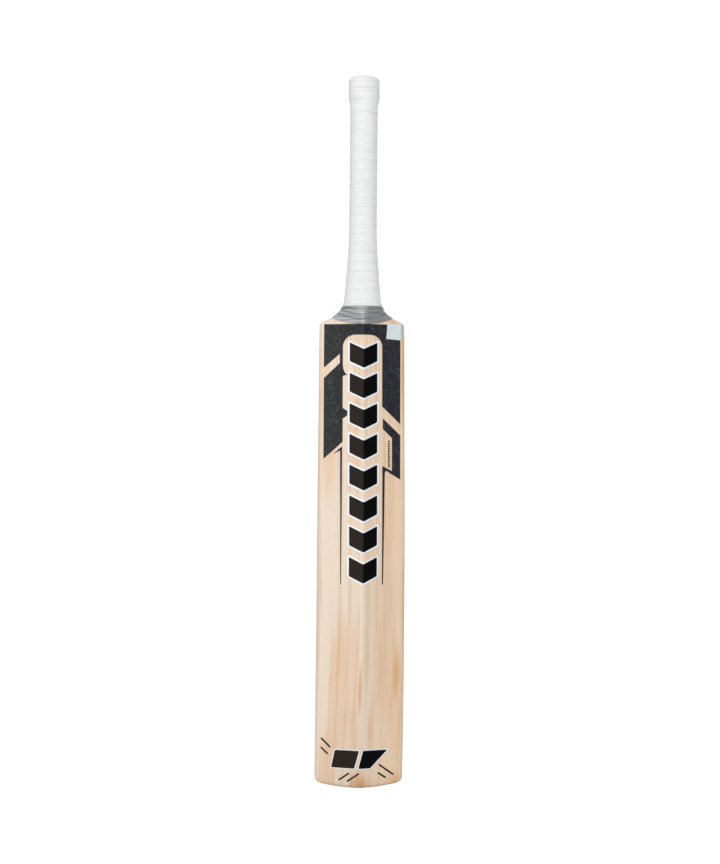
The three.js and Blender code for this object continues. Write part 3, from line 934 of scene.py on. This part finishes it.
grip = {
    "bottom": 580,
    "top": 857,
    "inner": 1.4,
    "thickness": 1.8,
    "cuffExtra": 2.1,
    "cuffBottom": 833,
    "cuffTaper": 12,
    "domeRadius": 6.5,
    "holeRadius": 8,
    "lip": 2.7,
    "ringStart": 587.5,
    "ringPitch": 11.17,
    "ringDepth": 0.62,
    "ringWidth": 0.7,
    "ribDepth": 0.36,
    "ribStart": 690,
    "ringEnd": 805,
    "waveTop": 845,  # the rings stop wandering up and down here
    "cuffRings": [(849.5, 0.35), (841.9, 0.65), (837.7, 0.6), (827, 0.4), (811.9, 0.75)],
}


def gripRings():
    rings = []
    height = grip["ringStart"]
    while height < grip["ringEnd"]:
        rings.append((height, grip["ringDepth"]))
        if height > grip["ribStart"]:
            rings.append((height + grip["ringPitch"] / 3, grip["ribDepth"]))
            rings.append((height + grip["ringPitch"] * 2 / 3, grip["ribDepth"]))
        height += grip["ringPitch"]
    return sorted(rings + grip["cuffRings"])


def makeGrip():
    rings = gripRings()
    offsets = (-0.9, -0.55, -0.25, 0, 0.25, 0.55, 0.9)
    near = [height + offset for height, depth in rings for offset in offsets]
    bottom, top = grip["bottom"], grip["top"]
    shape = [bottom, bottom + 0.15, bottom + 0.4] + spaced(585, top - grip["domeRadius"], 2.2)
    shape = [h for h in shape if all(abs(h - other) > 0.8 for other in near) or h < bottom + 0.5]
    heights = sorted(near + shape)
    dome = [top - grip["domeRadius"] * (1 - math.sin(math.radians(turn))) for turn in range(9, 91, 9)]
    heights += dome
    ends = [grip["holeRadius"] + extra for extra in (3.2, 1.6, 0.8, 0.35, 0.08, 0)]
    drops = [0, 0, 0.02, 0.15, 0.5, 1.2]
    around = 2 * (len(ovalPlaces) - 1)

    def depthAt(height):
        depth = 0
        for ring, deep in rings:
            away = abs(height - ring)
            if away < 2:
                depth = max(depth, deep * math.exp(-((away / grip["ringWidth"]) ** 2) * 2.5))
        return depth

    def skinAt(height):
        taperStart = grip["cuffBottom"] - grip["cuffTaper"]
        cuff = grip["cuffExtra"] * smoothstep(height, taperStart, grip["cuffBottom"])
        foot = 0.35 * max(1 - (height - bottom) / 0.4, 0) ** 2
        rim = endInset(top - height, grip["domeRadius"])
        return grip["inner"] + grip["thickness"] + cuff - foot - rim

    under = top - grip["lip"]
    inside = spaced(under, bottom, 9)
    lining = [sectionAt(height, ovalPlaces, grip["inner"]) for height in inside]
    lipRow = len(heights) + len(ends)
    sections = [sectionAt(height, ovalPlaces, skinAt(height)) for height in heights]
    depths = [depthAt(height) for height in heights]

    def pointAt(row, step):
        if row > lipRow:
            x, y = lining[row - lipRow - 1][step]
            return x, y, inside[row - lipRow - 1]
        if row == lipRow:
            x, y = sections[-1][step]
            length = math.hypot(x, y)
            return x / length * grip["holeRadius"], y / length * grip["holeRadius"], under
        if row >= len(heights):
            radius = ends[row - len(heights)]
            x, y = sections[-1][step]
            length = math.hypot(x, y)
            return x / length * radius, y / length * radius, top - drops[row - len(heights)]
        height = heights[row]
        x, y = sections[row][step]
        turn = math.atan2(y, x)
        length = math.hypot(x, y)
        wobble = noise.noise(Vector((math.cos(turn), math.sin(turn), height / 9)))
        share = 1 - depths[row] / length * (1 + 0.5 * wobble)
        tilt = 0.5 * math.sin(turn + height / 23) * clamp((height - bottom) / 6)
        tilt *= clamp((grip["waveTop"] - height) / 10)
        return x * share, y * share, height + tilt

    mesh = tube(around, lipRow + len(inside), pointAt, joined=True)
    finishPiece(mesh, "gripSleeve", gripRubber, "grip_rubber", "grip_sleeve", sharp=60)


def makeTapeTurn(number):
    low = tape["lowest"] + tape["edges"][number]
    inner = tape["skin"] + tape["thickness"] * number
    rise = tape["rises"][number]
    shares = [0, 0.01, 0.03, 0.07, 0.14, 0.25, 0.4, 0.6, 0.8, 1, 1, 0.6, 0.25, 0]
    skins = [0.12, 0.55, 0.85, 1, 1, 1, 1, 1, 1, 1, 0.06, 0.06, 0.06, 0.06]
    cache = {}

    def section(height, skin):
        key = round(height, 2), round(skin, 3)
        if key not in cache:
            cache[key] = sectionAt(key[0], bladePlaces, key[1])
        return cache[key]

    def pointAt(row, step):
        skin = inner + tape["thickness"] * skins[row]
        height = low
        for i in range(5):
            x, y = section(height, skin)[step]
            lift = noise.noise(Vector((x / 14, y / 14 + 3 * number, 0.5))) * tape["edgeWander"]
            edge = min(low + rise * x * x + lift, tape["top"] - 2)
            height = lerp(edge, tape["top"] - 0.05 * number, shares[row])
        x, y = section(height, skin)[step]
        crease = noise.noise(Vector((x / 9, y / 9, height / 2.2 + 7 * number))) * tape["crease"]
        length = math.hypot(x, y)
        fade = 0.7 if x < 0 else 0.15
        bridge = smoothstep(height, tape["fillingFrom"], tape["fillingTo"])
        bridge = bridge * (1 - fade * smoothstep(height, 575, 581))
        bridge *= tape["filling"] * clamp((abs(x) - 8) / 14) ** 1.5
        return x * (1 + crease / length) + math.copysign(bridge, x), y * (1 + crease / length), height

    mesh = tube(2 * (len(bladePlaces) - 1), len(shares) - 1, pointAt, joined=True)
    replaced = ["shoulder_tape"] if number == 0 else []
    finishPiece(mesh, f"tapeTurn{number + 1}", tapeCloth, "tape", *replaced, sharp=50)


makeTwineBinding()
makeGrip()
for number in range(len(tape["edges"])):
    makeTapeTurn(number)
print("grip and tape made")


sticker = {
    "lift": 0.08,
    "thickness": 0.12,
    "panelTop": 558.5,
    "panelHalfWidth": 46,
    "windowHalfWidth": 23.6,
    "windowDrop": 13,
    "windowCorner": 14.5,
    "lineBottom": 310.5,
    "lineWidth": 2,
    "lineEnd": 0.8,
    "spur": -18.2,
}


def backAt(x, height):
    # depth of the back's surface at a point, in mm
    side = abs(x)
    edgeX, edgeY = bladePoint(height, 3, 1)
    if side > edgeX:
        width, edge = bladePoint(height, 2, 1)
        radius = wood["backCornerRadius"]
        turn = math.acos(clamp(1 - (width - side) / radius, -1, 1))
        return edge - radius * math.sin(turn)
    return bladePoint(height, 4, 1 - side / edgeX)[1]


def draped(x, height, lift):
    # the point over the back at (x, height), lifted along the surface's normal
    step = 0.05
    slopeX = (backAt(x + step, height) - backAt(x - step, height)) / (2 * step)
    slopeZ = (backAt(x, height + step) - backAt(x, height - step)) / (2 * step)
    normal = Vector((slopeX, -1, slopeZ)).normalized()
    spot = Vector((x, backAt(x, height), height + crownAt(x, height))) + normal * lift
    return spot.x * mm, spot.y * mm, toe + spot.z * mm


def makeSticker(name, outline, material, slot, *replaced, layer=0, rounding=0, inset=0, turn=0):
    mesh = bmesh.new()
    face = mesh.faces.new([mesh.verts.new((x, height, 0)) for x, height in outline])
    mesh.normal_update()
    if face.normal.z < 0:
        face.normal_flip()
    if turn:
        centre = face.calc_center_median()
        bmesh.ops.rotate(mesh, verts=mesh.verts[:], cent=centre, matrix=Matrix.Rotation(turn, 3, "Z"))
    if inset:
        before = list(mesh.faces)
        ring = bmesh.ops.inset_region(
            mesh, faces=before, thickness=inset, use_even_offset=True, use_boundary=True
        )
        bmesh.ops.delete(mesh, geom=ring["faces"], context="FACES")
        loose = [v for v in mesh.verts if not v.link_faces]
        bmesh.ops.delete(mesh, geom=loose, context="VERTS")
        mesh.normal_update()
    if rounding:
        bmesh.ops.bevel(
            mesh,
            geom=mesh.verts[:],
            offset=rounding,
            affect="VERTICES",
            segments=4,
            profile=0.5,
            material=-1,
        )
    xs = [v.co.x for v in mesh.verts]
    ys = [v.co.y for v in mesh.verts]
    cuts = [0, 0.4, 0.8, 1.3, 1.9, 2.8] + [4 + 2.5 * i for i in range(20)]
    for x in sorted({c for c in cuts} | {-c for c in cuts}):
        if min(xs) < x < max(xs):
            sliceMesh(mesh, (x, 0, 0), (1, 0, 0))
    y = math.ceil(min(ys) / 4) * 4
    while y < max(ys):
        sliceMesh(mesh, (0, y, 0), (0, 1, 0))
        y += 4
    low = sticker["lift"] + layer * sticker["thickness"]
    grown = bmesh.ops.extrude_face_region(mesh, geom=mesh.faces[:])
    upper = {g for g in grown["geom"] if isinstance(g, bmesh.types.BMVert)}
    for vert in mesh.verts:
        lift = low + (sticker["thickness"] if vert in upper else 0)
        vert.co = draped(vert.co.x, vert.co.y, lift)
    finishPiece(mesh, name, material, slot, *replaced, sharp=50)


def sliceMesh(mesh, point, normal):
    geom = mesh.verts[:] + mesh.edges[:] + mesh.faces[:]
    bmesh.ops.bisect_plane(mesh, geom=geom, plane_co=point, plane_no=normal)


def down(points):
    return [(x, sticker["panelTop"] - drop) for x, drop in points]


def arc(x, height, radius, start, end, steps=8):
    turns = [math.radians(lerp(start, end, i / steps)) for i in range(steps + 1)]
    return [(x + radius * math.cos(t), height + radius * math.sin(t)) for t in turns]


def hook(start, bend, end, steps=6):
    points = []
    for i in range(1, steps):
        share = i / steps
        first = [lerp(a, b, share) for a, b in zip(start, bend)]
        second = [lerp(a, b, share) for a, b in zip(bend, end)]
        points.append(tuple(lerp(a, b, share) for a, b in zip(first, second)))
    return points


def upperPanel():
    side, half, top = sticker["windowHalfWidth"], sticker["panelHalfWidth"], sticker["panelTop"]
    spur, corner = sticker["spur"], sticker["windowCorner"]
    notch = -side - 3.7
    tip, edge = (spur, top - 60.7), (-side, top - 45.8)
    ceiling = top - sticker["windowDrop"] - corner
    # across, and down from the panel's top, in mm
    left = [(-half, 0), (-half, 52.5), (notch, 36), (notch, 47), (-half, 65), (-half, 162)]
    inner = [(-side, 141.5), (-side, 113.7), (spur, 109.9), (spur, 104.6)]
    inner += [(-side, 100.7), (-side, 62.6)]
    return (
        down(left + inner)
        + [tip]
        + hook(tip, (-side, top - 59), edge)
        + [edge]
        + arc(-side + corner, ceiling, corner, 180, 90)
        + arc(side - corner, ceiling, corner, 90, 0)
        + down([(side, 98.7), (half, 119.8), (half, 0)])
    )


def rightBand():
    inner, half = sticker["windowHalfWidth"] + 0.9, sticker["panelHalfWidth"]
    line, foot = inner - 0.5, sticker["lineBottom"]  # the line starts a little inside the band
    return down(
        [
            (inner, 113),
            (half, 133.1),
            (half, 186.2),
            (inner + sticker["lineWidth"] + 0.5, 174.5),
            (inner + sticker["lineEnd"], foot),
            (line, foot),
            (line, 170),
            (inner + 11.3, 176),
            (inner + 11.3, 136.7),
            (inner, 125.4),
        ]
    )


def leftLine():
    inner, foot = -sticker["windowHalfWidth"] - 0.9, sticker["lineBottom"]
    middle = -(sticker["windowHalfWidth"] + sticker["panelHalfWidth"]) / 2
    return down(
        [
            (inner + 0.4, 146.6),
            (middle, 156.4),
            (inner - sticker["lineWidth"], 151.8),
            (inner - sticker["lineEnd"], foot),
            (inner, foot),
        ]
    )


chevron = {
    "count": 8,
    "halfWidth": 18.5,
    "thickness": 27,
    "point": 9,
    "pitch": 36.5,
    "first": 19,
    "offset": 1,
    "corner": 2.4,
    "border": 2,
    "printCorner": 1.3,
}


def chevronOutline(number):
    top = chevron["first"] + number * chevron["pitch"]
    low = top + chevron["thickness"]
    left = chevron["offset"] - chevron["halfWidth"]
    right = chevron["offset"] + chevron["halfWidth"]
    middle, point = chevron["offset"], chevron["point"]
    lower = [(left, top), (left, low), (middle, low + point)]
    return down(lower + [(right, low), (right, top), (middle, top + point)])


ticks = {
    "left": 31.2,
    "first": 139.7,
    "count": 11,
    "length": 33.3,
    "spine": 0.8,
    "reach": 2.4,
    "width": 1.2,
}


def tickOutline():
    x, first = ticks["left"], ticks["first"]
    pitch = ticks["length"] / ticks["count"]
    spine, reach = x + ticks["spine"], x + ticks["reach"]
    points = [(x, first)]
    for i in range(ticks["count"]):
        top = first + i * pitch
        low = top + ticks["width"]
        points += [(spine, top), (reach, top), (reach, low), (spine, low)]
    return down(points + [(x, first + (ticks["count"] - 1) * pitch + ticks["width"])])


flash = {
    "bottom": 24.6,
    "top": 49.4,
    # bottom left, bottom right, top right and top left corners
    "corners": [(-34.8, -5, 0.6, -30.2), (-2.4, 13.6, 36, 3.2)],
    "corner": 1.6,
    "border": 1.1,
    "printCorner": 1,
}


def flashOutline(bottomLeft, bottomRight, topRight, topLeft):
    bottom, top = flash["bottom"], flash["top"]
    return [(bottomLeft, bottom), (bottomRight, bottom), (topRight, top), (topLeft, top)]


dashWidth = 2
dashes = [
    (-46, 62.5, -35, 51.4),
    (-46, 51, -37.6, 42.6),
    (-24.1, 9.6, -11.9, 19.6),
    (-14.2, 8.6, -0.2, 19.6),
    (24, 29.9, 41.9, 14.6),
    (22.8, 19.4, 32.6, 11.6),
]


def dashOutline(fromX, fromY, toX, toY):
    along = Vector((toX - fromX, toY - fromY)).normalized() * dashWidth / 2
    return [
        (fromX - along.y, fromY + along.x),
        (fromX + along.y, fromY - along.x),
        (toX + along.y, toY - along.x),
        (toX - along.y, toY + along.x),
    ]


label = {"left": 29.2, "top": -1, "size": 19, "turn": -0.075}


def makeEdged(kind, number, outline, shape, node):
    # a pale backing with a black print set in from its edge
    backing, ink = f"{kind}Backing{number}", f"{kind}Print{number}"
    border, rounding = shape["border"], shape["printCorner"]
    makeSticker(backing, outline, paleFilm, "edged_film", node, rounding=shape["corner"])
    makeSticker(ink, outline, blackFilm, "edged_film", layer=1, inset=border, rounding=rounding)


def makeStickers():
    makeSticker("upperPanel", upperPanel(), panelFilm, "panel_film", "upper_panel_sticker")
    makeSticker("rightBand", rightBand(), panelFilm, "panel_film", "right_band_sticker")
    makeSticker("leftLine", leftLine(), panelFilm, "panel_film", "left_line_sticker")
    makeSticker("tickStrip", tickOutline(), blackFilm, "black_film", "tick_sticker")
    for i in range(1, chevron["count"] + 1):
        makeEdged("chevron", i, chevronOutline(i - 1), chevron, f"chevron_sticker_{i}")
    for i, corners in enumerate(flash["corners"], 1):
        makeEdged("flash", i, flashOutline(*corners), flash, f"toe_flash_sticker_{i}")
    for i, dash in enumerate(dashes, 1):
        makeSticker(f"dash{i}", dashOutline(*dash), blackFilm, "black_film", f"toe_dash_sticker_{i}")
    left, top = label["left"], label["top"]
    right, bottom = left + label["size"], top + label["size"]
    square = down([(left, top), (left, bottom), (right, bottom), (right, top)])
    foil = {"layer": 2, "turn": label["turn"]}
    makeSticker("hologramLabel", square, hologramFoil, "hologram_foil", "hologram_label", **foil)


makeStickers()
print("stickers made")


studio = {
    "floorSize": 40,
    "floorGlow": 1.25,
    "floorGlowShare": 0.72,
    "airSeen": 1.05,
    "airFill": 0.54,
    "lamps": [
        # name, place, size, watts
        ("keyLamp", (-0.6, -2.95, 0.7), 1.6, 44),
        ("topLamp", (-0.4, -0.9, 2.2), 1.6, 9),
        ("rearLamp", (1.2, 2.6, 0.8), 1.8, 34),
    ],
}


def makeStudio():
    mesh = bmesh.new()
    bmesh.ops.create_grid(mesh, x_segments=4, y_segments=4, size=studio["floorSize"] / 2)
    bmesh.ops.translate(mesh, verts=mesh.verts[:], vec=(0, 0, toe - 0.0002))
    data = bpy.data.meshes.new("floor")
    mesh.to_mesh(data)
    mesh.free()
    floor = bpy.data.objects.new("floor", data)
    bpy.context.scene.collection.objects.link(floor)
    paper = Finish("floorPaper", {"Roughness": 0.9})
    tone = paper.noise(paper.place(), 3, 2)
    paper.put({"Base Color": paper.mix(tone, (0.78, 0.78, 0.78), (0.82, 0.82, 0.82))})
    seenWhite = paper.node("Emission", {"Strength": studio["floorGlow"], "Color": (1, 1, 1)})
    seen = paper.node("LightPath", output="Is Camera Ray") * studio["floorGlowShare"]
    paper.blend(seen, seenWhite)
    data.materials.append(paper.material)
    for name, place, size, watts in studio["lamps"]:
        lamp = bpy.data.lights.new(name, "AREA")
        lamp.size = size
        lamp.energy = watts
        stand = bpy.data.objects.new(name, lamp)
        stand.location = place
        stand.rotation_euler = (-Vector(place)).to_track_quat("-Z", "Y").to_euler()
        bpy.context.scene.collection.objects.link(stand)
    air = Air("studioAir")
    fill = air.node("Background", {"Color": (0.97, 0.98, 1), "Strength": studio["airFill"]})
    seen = air.node("Background", {"Color": (1, 1, 1), "Strength": studio["airSeen"]})
    air.show(air.node("MixShader", {0: air.node("LightPath", output="Is Camera Ray"), 1: fill, 2: seen}))
    bpy.context.scene.world = air.world
    bpy.context.scene.view_settings.view_transform = "Standard"


makeStudio()
print("studio made")
